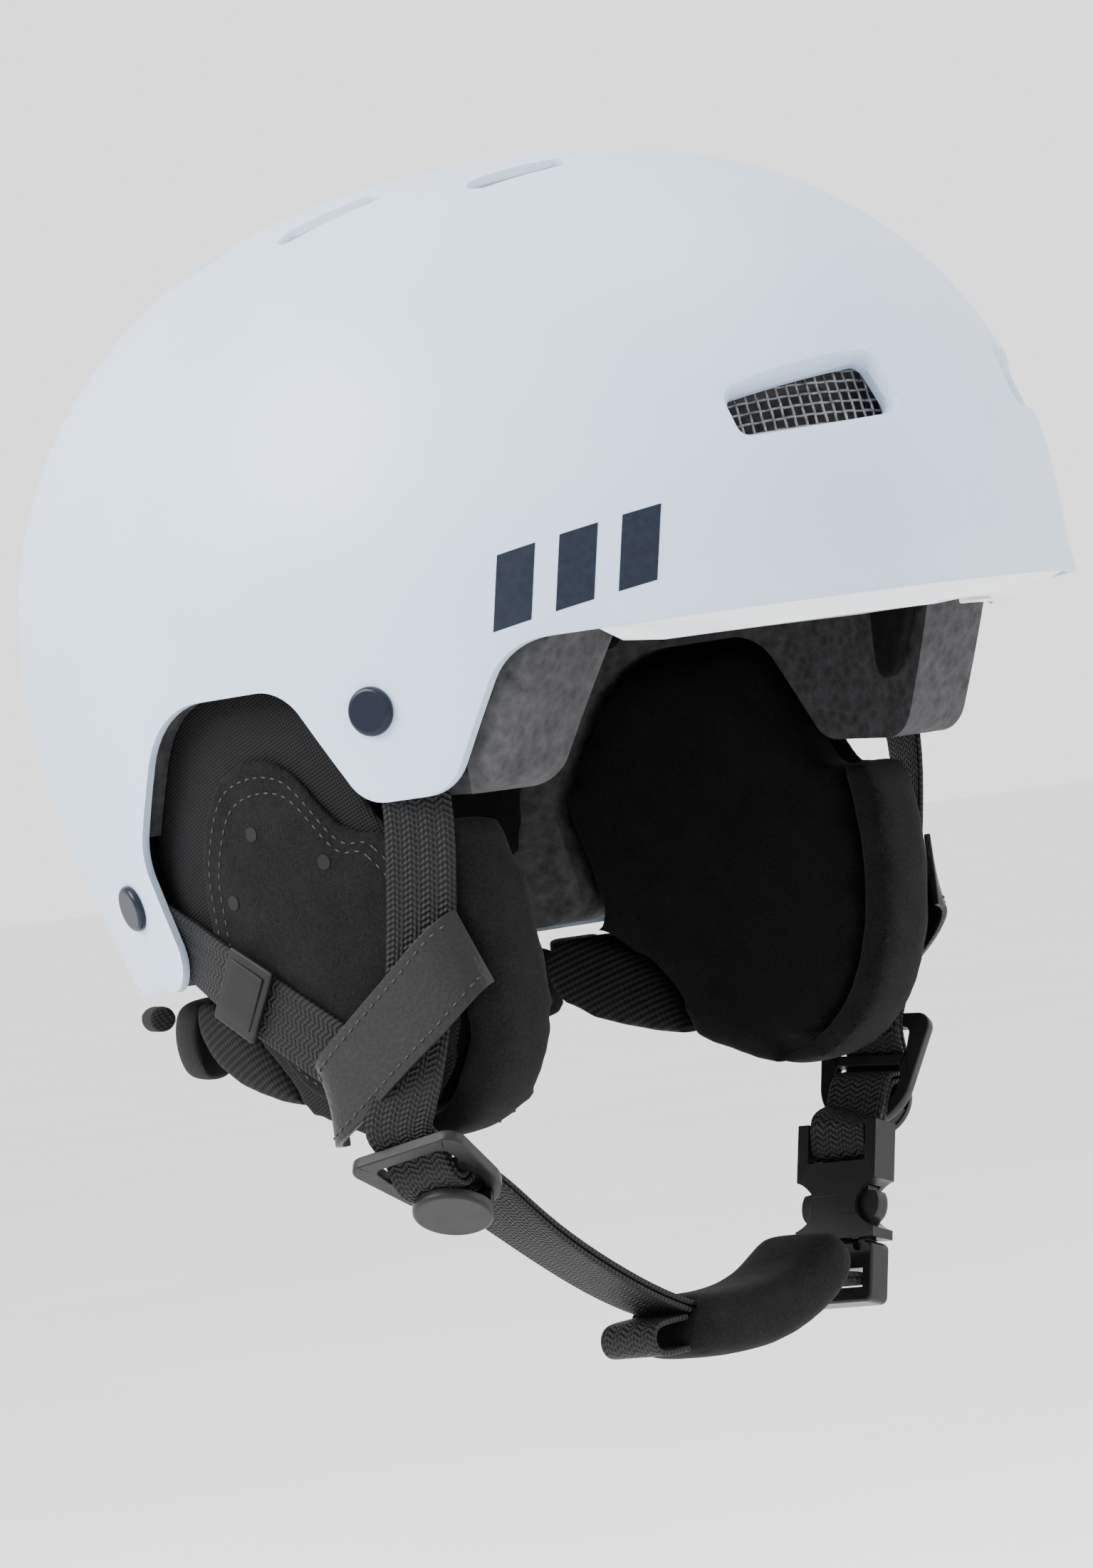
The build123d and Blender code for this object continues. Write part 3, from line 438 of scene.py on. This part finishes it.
for side, hand in ((-1, "right"), (1, "left")):
    stuffed(f"ear_core_{hand}", [f"ear_pad_{hand}"], 0.0026, "helmet", core_fleece,
            0.0005, 8, 2.5, 0.002)
    stuffed(f"ear_band_{hand}", [f"ear_panel_{hand}"], 0.0016, "helmet", woven.material,
            0.0, 3, 0)
    stuffed(f"ear_fleece_{hand}", [f"ear_patch_{hand}"], 0.0011, "helmet", fleece,
            0.0, 3, 0)
    stuffed(f"ear_front_{hand}", [f"ear_roll_{hand}"], 0.0024, "helmet", fleece,
            0.0008, 12, 2.5, 0.002)
    stuffed(f"ear_rear_{hand}", [f"ear_knit_{hand}"], 0.0024, "helmet", knit.material,
            0.0008, 12, 2.5, 0.002)


# ---- Stitches and holes of the ear patches
# Two lines of grey thread hold the patch, one at its edge and one just inside it, and five round
# holes are punched through it. Each hole is a near-black disc whose colour is painted shade in the hole.
thread = Finish("grey_thread", roughness=0.7)
thread.colours(thread.noise(thread.place(), 2500),
               (0.3, (0.006, 0.006, 0.0065)), (0.7, (0.024, 0.024, 0.026)))
# The near-black colour of the hole discs is painted shade inside the punched holes.
painted_hole_shade = Finish("hole_shade", roughness=1.0)
painted_hole_shade.colours(painted_hole_shade.noise(painted_hole_shade.place(), 800), (0.3, (0.001, 0.001, 0.001)), (0.7, (0.003, 0.003, 0.003)))


def rounded(points, steps=12, closed=False):
    """A smooth line through points."""
    line, count = [], len(points)
    for i in range(count if closed else count - 1):
        a, b, c, d = (Vector(points[(i + k) % count if closed else min(max(i + k, 0), count - 1)])
                      for k in (-1, 0, 1, 2))
        for step in range(steps):
            t = step / steps
            line.append(0.5 * (2 * b + (c - a) * t + (2 * a - 5 * b + 4 * c - d) * t * t
                               + (3 * b - a - 3 * c + d) * t ** 3))
    return line if closed else line + [Vector(points[-1])]


def even(line, pitch):
    """Points a pitch apart along a line, each with the way the line runs there."""
    spots, left = [], 0.0
    for a, b in zip(line, line[1:]):
        run = (b - a).length
        while run and left < run:
            spots.append((a.lerp(b, left / run), (b - a) / run))
            left += pitch
        left -= run
    return spots


def tree_of(piece):
    bpy.context.view_layer.update()
    return BVHTree.FromObject(piece, bpy.context.evaluated_depsgraph_get())


def sewn(name, spots, length, thick, body, material=None):
    """Short thread loops, each lying along its own direction on a surface."""
    shape = bmesh.new()
    for place, along, normal in spots:
        wide = along.cross(normal).normalized()
        turn = Matrix((along.normalized() * length / 2, wide * thick, normal * thick)).transposed().to_4x4()
        bmesh.ops.create_icosphere(shape, subdivisions=1, radius=1,
                                   matrix=Matrix.Translation(place + normal * thick * 0.3) @ turn)
    mesh = bpy.data.meshes.new(name)
    shape.to_mesh(mesh)
    shape.free()
    for face in mesh.polygons:
        face.use_smooth = True
    piece = bpy.data.objects.new(name, mesh)
    mesh.materials.append(material or thread.material)
    bpy.context.scene.collection.objects.link(piece)
    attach(piece, body)
    return piece


PATCH_EDGE = [(-17, -31), (-7, -28), (8, -12), (27, -13), (37, -28), (39, -42), (38, -58), (28, -73),
              (18, -86), (0, -90), (-14, -87), (-26, -74), (-27, -48)]
HOLES = [(20, -24), (-2, -33), (31, -40), (-17, -60), (-6, -72)]
for side, hand in ((-1, "right"), (1, "left")):
    cloth = tree_of(bpy.data.objects[f"ear_fleece_{hand}"])
    for number, draw_in in ((1, 1.0), (2, 0.90)):
        middle = Vector((4, -50))
        outline = [middle + (Vector(point) - middle) * draw_in for point in PATCH_EDGE]
        line = [Vector((side * 0.14, p.x * MM, p.y * MM)) for p in rounded(outline, closed=True)]
        spots = []
        for place, along in even(line + line[:1], 2.9 * MM):
            hit, normal, _, _ = cloth.ray_cast(place, Vector((-side, 0, 0)), 0.09)
            if hit:
                spots.append((hit, (along - normal * along.dot(normal)), normal))
        sewn(f"patch_thread_{hand}_{number}", spots, 1.9 * MM, 0.28 * MM, "helmet")
    # Dark discs on the patch stand for the holes; their colour is painted shade.
    shape = bmesh.new()
    for y, z in HOLES:
        hit, normal, _, _ = cloth.ray_cast(Vector((side * 0.14, y * MM, z * MM)), Vector((-side, 0, 0)), 0.09)
        if hit:
            turn = normal.to_track_quat("Z", "Y").to_matrix().to_4x4()
            bmesh.ops.create_cone(shape, cap_ends=True, segments=20, radius1=1.7 * MM, radius2=1.9 * MM,
                                  depth=0.5 * MM, matrix=Matrix.Translation(hit) @ turn)
    mesh = bpy.data.meshes.new(f"patch_holes_{hand}")
    shape.to_mesh(mesh)
    shape.free()
    holes = bpy.data.objects.new(f"patch_holes_{hand}", mesh)
    mesh.materials.append(painted_hole_shade.material)
    bpy.context.scene.collection.objects.link(holes)
    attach(holes, "helmet")


# ---- Neck roll and pad loops
# A fleece roll joins the ear pads round the nape, and a rolled loop of cloth sits under each rear lobe.
stuffed("nape_roll", ["neck_roll"], 0.0024, "helmet", core_fleece, 0.0008, 8, 2.5, 0.002)
for hand in ("right", "left"):
    stuffed(f"cloth_loop_{hand}", [f"pad_loop_{hand}"], 0.0009, "helmet", woven.material, 0.0, 4, 0)


# ---- Strap webbing
# Black woven webbing, 17 mm wide, with chevron ribs; the fine picots at its edges are not drawn. The front
# and rear straps start under the rivets, meet behind the leather holder and end folded round their divider.
WEB_WIDE = 17 * MM
WEB_THICK = 1.5 * MM

chevron = Finish("chevron_webbing", roughness=0.62, specular_ior_level=0.2)
flat_map = chevron.make("UVMap", uv_map="weave")
u, v, w = chevron.axes(flat_map)
column = (v * 235 + 0.5).fraction()
ribs = ((u * 4200) + (column - 0.5).size() * 11.0).wave()
cords = (v * 235 * 6.2832 * 4).wave()
weave = ribs * 0.65 + cords * 0.35
chevron.colours(weave * 0.5 + 0.5, (0.15, (0.0014, 0.0014, 0.0016)), (0.9, (0.0115, 0.0115, 0.0125)))
chevron.bump(weave, 0.0003, 1.0)
chevron.feed("Roughness", weave * -0.1 + 0.6)


def webbing(name, stations, body, wide=WEB_WIDE, thick=WEB_THICK, material=None, levels=2,
            edge=0.35):
    """Flat band in millimetres through stations, each a point and the way the band's face looks."""
    points = [Vector(point) * MM for point, _ in stations]
    count = len(points)
    runs = [0.0]
    for a, b in zip(points, points[1:]):
        runs.append(runs[-1] + (b - a).length)
    shape = bmesh.new()
    bmesh.ops.create_grid(shape, x_segments=2, y_segments=count - 1, size=0.5)
    chart = shape.loops.layers.uv.new("weave")
    for face in shape.faces:
        for loop in face.loops:
            index = round((loop.vert.co.y + 0.5) * (count - 1))
            loop[chart].uv = (runs[index], loop.vert.co.x * wide)
    for vert in shape.verts:
        index = round((vert.co.y + 0.5) * (count - 1))
        ahead = points[min(index + 1, count - 1)] - points[max(index - 1, 0)]
        sideways = ahead.cross(Vector(stations[index][1])).normalized()
        vert.co = points[index] + sideways * vert.co.x * wide
    mesh = bpy.data.meshes.new(name)
    shape.to_mesh(mesh)
    shape.free()
    piece = bpy.data.objects.new(name, mesh)
    bpy.context.scene.collection.objects.link(piece)
    soften = piece.modifiers.new("curve", "SUBSURF")
    soften.levels = soften.render_levels = levels
    soften.boundary_smooth = "PRESERVE_CORNERS"
    solid = piece.modifiers.new("cloth", "SOLIDIFY")
    solid.thickness = thick
    solid.offset = 0
    round_off = piece.modifiers.new("edge", "BEVEL")
    round_off.width = thick * edge
    round_off.segments = 3
    round_off.limit_method = "ANGLE"
    round_off.angle_limit = math.radians(50)
    bake(piece)
    for face in piece.data.polygons:
        face.use_smooth = True
    piece.data.materials.append(material or chevron.material)
    if body:
        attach(piece, body)
    return piece


def divider_frame(middle, direction, turn):
    """Axes of a divider: across, up towards the straps, and out of its face."""
    along = Vector(direction).normalized()
    front = Vector((0, -1 if middle[0] < 0 else 1, 0))
    sideways = Matrix.Rotation(math.radians(turn), 3, along) @ front
    face = sideways.cross(-along)
    return Matrix((sideways, face.cross(sideways), face)).transposed(), Vector(middle)


DIVIDERS = {-1: divider_frame((-94.5, -13.5, -111.0), (0.85, 0, -0.53), -12),
            1: divider_frame((94.7, -13.5, -106.8), (-0.50, 0, -0.87), -8)}
FRONT_FOLD = [(16.5, -2.6), (10.4, -2.6), (7.4, -0.6), (5.4, 1.8), (3.6, 4.0), (0.5, 4.8), (-2.8, 4.2),
              (-4.6, 1.6), (-5.6, -0.8), (-7.4, -2.3), (-9.5, -2.6), (-12.4, -2.6)]
REAR_FOLD = [(14.5, -4.5), (9.0, -4.2), (5.4, -1.9), (3.6, 1.0), (2.4, 2.6), (0.5, 3.0), (-1.6, 2.5),
             (-3.0, 0.2), (-4.2, -2.6), (-6.4, -4.0), (-9.0, -4.4), (-12.4, -4.4)]


def folded(side, path):
    """Stations round the bar of a divider, from a path in the divider's own height and depth."""
    turn, middle = DIVIDERS[side]
    spots = [middle + turn @ Vector((0, y, z)) for y, z in path]
    return [(spot, (spots[min(i + 1, len(spots) - 1)] - spots[max(i - 1, 0)]).cross(turn.col[0]))
            for i, spot in enumerate(spots)]


def mirrored(stations, side):
    return [((-side * x, y, z), (-side * a, b, c)) for (x, y, z), (a, b, c) in stations]


FRONT_RUN = [((-103.4, -24.0, 10.0), (-1, -0.25, 0)), ((-103.6, -27.0, 1.0), (-1, -0.25, 0)),
             ((-104.0, -33.0, -18.0), (-1, -0.5, 0)), ((-104.4, -31.0, -36.0), (-1, -0.6, 0)),
             ((-103.2, -26.5, -58.0), (-1, -0.5, -0.05)), ((-102.9, -20.5, -78.0), (-1, -0.35, -0.05))]
REAR_RUN = [((-86.5, 74.0, -35.5), (-1, 0.9, -0.3)), ((-88.6, 70.0, -38.7), (-1, 0.85, -0.3)),
            ((-93.2, 58.0, -47.0), (-1, 0.62, -0.2)), ((-95.2, 51.0, -51.0), (-1, 0.5, -0.05)),
            ((-98.6, 44.0, -54.4), (-1, 0.45, -0.05)), ((-101.4, 35.0, -59.6), (-1, 0.2, -0.05)),
            ((-101.9, 18.0, -71.0), (-1, 0.05, -0.05)), ((-101.3, 5.0, -80.5), (-1, -0.05, -0.05))]
# Where the straps start and end their bend
FRONT_END = {-1: [((-103.7, -17, -89.5), (-1, -0.12, -0.05))],
             1: [((-102.4, -17.0, -84.5), (-1, -0.12, -0.05))]}
REAR_END = {-1: [((-102.0, -8.5, -89.0), (-1, -0.1, -0.05))],
            1: [((-100.6, -8.0, -84.5), (-1, -0.1, -0.05))]}
for side, hand in ((-1, "right"), (1, "left")):
    front = webbing(f"front_webbing_{hand}", mirrored(FRONT_RUN + FRONT_END[side], side)
                    + folded(side, FRONT_FOLD), "helmet" if side > 0 else None)
    rear = webbing(f"rear_webbing_{hand}", mirrored(REAR_RUN + REAR_END[side], side)
                   + folded(side, REAR_FOLD), "helmet" if side > 0 else None)
    if side < 0:
        for piece in (front, rear):
            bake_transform(piece)
    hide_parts(f"front_strap_{hand}", f"strap_fold_{hand}")
    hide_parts(f"rear_strap_{hand}")


# ---- Rubber labels
# A moulded rubber tab is slid on each rear strap, with a raised plain panel.
rubber = moulded("label_rubber", (0.005, 0.005, 0.0055), 0.5)
for side, hand in ((-1, "right"), (1, "left")):
    ends = mirrored([((-103.2, 36.5, -58.5), (-1, 0.2, -0.05)), ((-103.5, 30.5, -62.5), (-1, 0.15, -0.05)),
                     ((-103.8, 24.5, -66.5), (-1, 0.1, -0.05))], side)
    label = webbing(f"label_{hand}", ends, "helmet", 20 * MM, 1.6 * MM, rubber, 1)
    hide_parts(f"strap_label_{hand}")
    panel = webbing(f"label_panel_{hand}", [(tuple(Vector(p) + Vector(f).normalized() * 0.9), f) for p, f in (
        (tuple(Vector(ends[0][0]).lerp(Vector(ends[2][0]), t)), ends[1][1]) for t in (0.12, 0.5, 0.88))],
        "helmet", 15 * MM, 0.8 * MM, rubber, 1)


# ---- Leather strap holders
# Grained leather band sewn into the seam of the ear pad, over both straps, with a line of thread near
# each edge.
leather = Finish("grained_leather", roughness=0.46, specular_ior_level=0.25)
spot = leather.place()
grain = leather.cells(spot, 900)
leather.colours(grain * 0.6 + leather.noise(spot, 150, 3) * 0.5,
                (0.2, (0.0022, 0.0022, 0.0024)), (0.8, (0.0065, 0.0065, 0.007)))
leather.bump(grain + leather.noise(spot, 250, 3) * 0.7, 0.00022, 0.6)
dark_thread = Finish("dark_thread", roughness=0.5)
dark_thread.colours(dark_thread.noise(dark_thread.place(), 2500),
                    (0.3, (0.002, 0.002, 0.002)), (0.7, (0.012, 0.012, 0.012)))
HOLDER = [((-98.6, -38.6, -57.6), (-1, -1.6, 0)), ((-101.6, -37.4, -58.8), (-1, -1.1, 0)),
          ((-104.4, -34.0, -61.8), (-1, -0.5, 0)), ((-106.2, -27, -68), (-1, -0.2, -0.05)),
          ((-106.9, -18, -74.4), (-1, -0.08, -0.05)), ((-107.1, -10, -80), (-1, 0, -0.05)),
          ((-107.0, -2, -85.6), (-1, 0.06, -0.05)), ((-106.4, 3.4, -89.2), (-1, 0.2, -0.05)),
          ((-105.0, 6.6, -91.4), (-1, 0.8, -0.1)), ((-102.4, 8.0, -92.4), (-0.6, 1.4, 0.1)),
          ((-99.6, 7.4, -92.2), (0.2, 1.4, 0.1))]
for side, hand in ((-1, "right"), (1, "left")):
    stations = mirrored(HOLDER, side)
    holder = webbing(f"holder_{hand}", stations, "helmet", 20 * MM, 1.7 * MM, leather.material, 2)
    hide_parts(f"strap_holder_{hand}")
    hide = tree_of(holder)
    spots = []
    for offset in (-7.6, 7.6):
        line = []
        for index, (point, face) in enumerate(stations[1:-1], 1):
            ahead = Vector(stations[index + 1][0]) - Vector(stations[index - 1][0])
            line.append((Vector(point) + ahead.cross(Vector(face)).normalized() * offset) * MM)
        for place, along in even(rounded(line), 3.1 * MM):
            outside = place + Vector((side * 0.012, 0, 0))
            hit, normal, _, _ = hide.ray_cast(outside, Vector((-side, 0, 0)), 0.03)
            if hit:
                spots.append((hit, along - normal * along.dot(normal), normal))
    sewn(f"holder_thread_{hand}", spots, 2.1 * MM, 0.3 * MM, "helmet", dark_thread.material)


# ---- Strap dividers
# Moulded plates with a window and a bar that both straps are folded round, and a round cap that
# clips over the fold.
divider_plastic = moulded("divider_plastic", (0.0055, 0.0055, 0.006), 0.42, 1400, 0.00005)
for hand in ("right", "left"):
    dress(f"strap_divider_{hand}", divider_plastic, 0.0005, 40)
    dress(f"divider_cap_{hand}", divider_plastic, 0.0004, 40)


# ---- Buckle
# Side-release buckle in satin black plastic: the body on the wearer's left, the base on the chin
# strap, and two arms that spring inwards when the finger pads are squeezed.
buckle_plastic = moulded("buckle_plastic", (0.005, 0.005, 0.0055), 0.36, 1600, 0.00004)
for node in ("buckle_female", "buckle_male", "buckle_prong_front", "buckle_prong_rear"):
    dress(node, buckle_plastic, 0.0005, 40)


# ---- Left webbing loop
# A short doubled loop of the same webbing joins the left divider to the bar of the buckle.
PIVOT_X, PIVOT_Z, MOUTH_X, MOUTH_Z, HARNESS_Y = -104.8, -98.5, 71.5, -151.0, -13.0
BAND_DEPTH = -3.5
buckle_lean = math.atan2(PIVOT_Z - MOUTH_Z, MOUTH_X - PIVOT_X)
buckle_up = Vector((math.sin(buckle_lean), 0, math.cos(buckle_lean)))
buckle_face = Vector((0, -1, 0)).cross(buckle_up)


def in_buckle(up, out):
    return Vector((MOUTH_X, HARNESS_Y, MOUTH_Z)) + buckle_up * up + buckle_face * out


left_turn, left_middle = DIVIDERS[1]
for number, (depth, sign, belly) in enumerate(((-2.6, -1, 3.6), (-4.4, 1, 4.6)), 1):
    stations = [(left_middle + left_turn @ Vector((0, up, depth)), left_turn.col[2])
                for up in (-12.4, -15.0, -17.0)]
    stations += [(in_buckle(up, sign * out), -buckle_face)
                 for up, out in ((31.5, belly), (28.6, 3.7), (25.0, 3.4))]
    stations += [(in_buckle(23.0, sign * 2.6), -buckle_face + buckle_up * sign),
                 (in_buckle(22.1, sign * 0.7), buckle_up * sign)]
    loop = webbing(f"buckle_webbing_{number}", stations, "helmet")
    if number == 1:
        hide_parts("left_buckle_loop")


# ---- Chin webbing
# Doubled webbing runs from the right divider under the chin, through the fleece sleeve, to the
# slot of the buckle's base. Its free ends are folded back into a small roll.
WEB_LINE = [(-60.0, -130.2), (-40.0, -142.4), (-20.0, -152.8), (0.0, -160.2), (20.0, -163.4),
            (38.0, -162.0), (50.0, -158.5)]
right_turn, right_middle = DIVIDERS[-1]
for number, gap in ((1, -0.95), (2, 0.95)):
    stations = [(right_middle + right_turn @ Vector((0, up, BAND_DEPTH + gap)), right_turn.col[2])
                for up in (-12.4, -20)]
    for index, (x, z) in enumerate(WEB_LINE):
        before, after = WEB_LINE[max(index - 1, 0)], WEB_LINE[min(index + 1, len(WEB_LINE) - 1)]
        run = Vector((after[0] - before[0], 0, after[1] - before[1])).normalized()
        down = Vector((run.z, 0, -run.x))
        stations.append((Vector((x, HARNESS_Y, z)) + down * gap, down))
    ends = [in_buckle(-10.6 - gap * 0.9, out) for out in (6.0, 0.5)]
    lay = (ends[1] - ends[0]).cross(Vector((0, -1, 0)))
    stations += [(end, lay) for end in ends]
    band = webbing(f"chin_band_{number}", stations, "chin_strap")
    if number == 1:
        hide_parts("chin_webbing")
TAIL = [(-11.5, -158.9, (0, 0, 1)), (-15.5, -158.9, (0, 0, 1)), (-20.6, -158.9, (-0.1, 0, 1)),
        (-24.4, -159.2, (-0.5, 0, 1)), (-26.6, -161.2, (-1, 0, 0.4)), (-26.6, -164.2, (-1, 0, -0.4)),
        (-24.4, -166.3, (-0.5, 0, -1)), (-20.6, -166.7, (-0.1, 0, -1)), (-15.5, -166.7, (0, 0, -1)),
        (-12.4, -166.7, (0, 0, -1))]
tail = webbing("webbing_roll", [((x, HARNESS_Y, z), face) for x, z, face in TAIL], "chin_strap")
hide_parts("webbing_tail")


# ---- Chin pad
# A fleece sleeve with a little foam, closed by one long seam, slides on the chin webbing.
stuffed("chin_sleeve", ["chin_pad"], 0.0017, "chin_strap", fleece, 0.0008, 8, 2.5, 0.002)


# ---- Floor
# A plain pale floor, low enough for the chin strap to hang clear of it when it is open.
FLOOR_DROP = 0.14
low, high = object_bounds()
shape = bmesh.new()
bmesh.ops.create_grid(shape, x_segments=1, y_segments=1, size=30)
bmesh.ops.translate(shape, verts=shape.verts, vec=(0, 0, low.z - FLOOR_DROP))
floor_mesh = bpy.data.meshes.new("floor")
shape.to_mesh(floor_mesh)
shape.free()
floor = bpy.data.objects.new("floor", floor_mesh)
pale = Finish("pale_floor", roughness=0.9)
pale.colours(pale.noise(pale.place(), 3), (0.3, (0.86, 0.86, 0.87)), (0.7, (0.90, 0.90, 0.905)))
floor_mesh.materials.append(pale.material)
bpy.context.scene.collection.objects.link(floor)
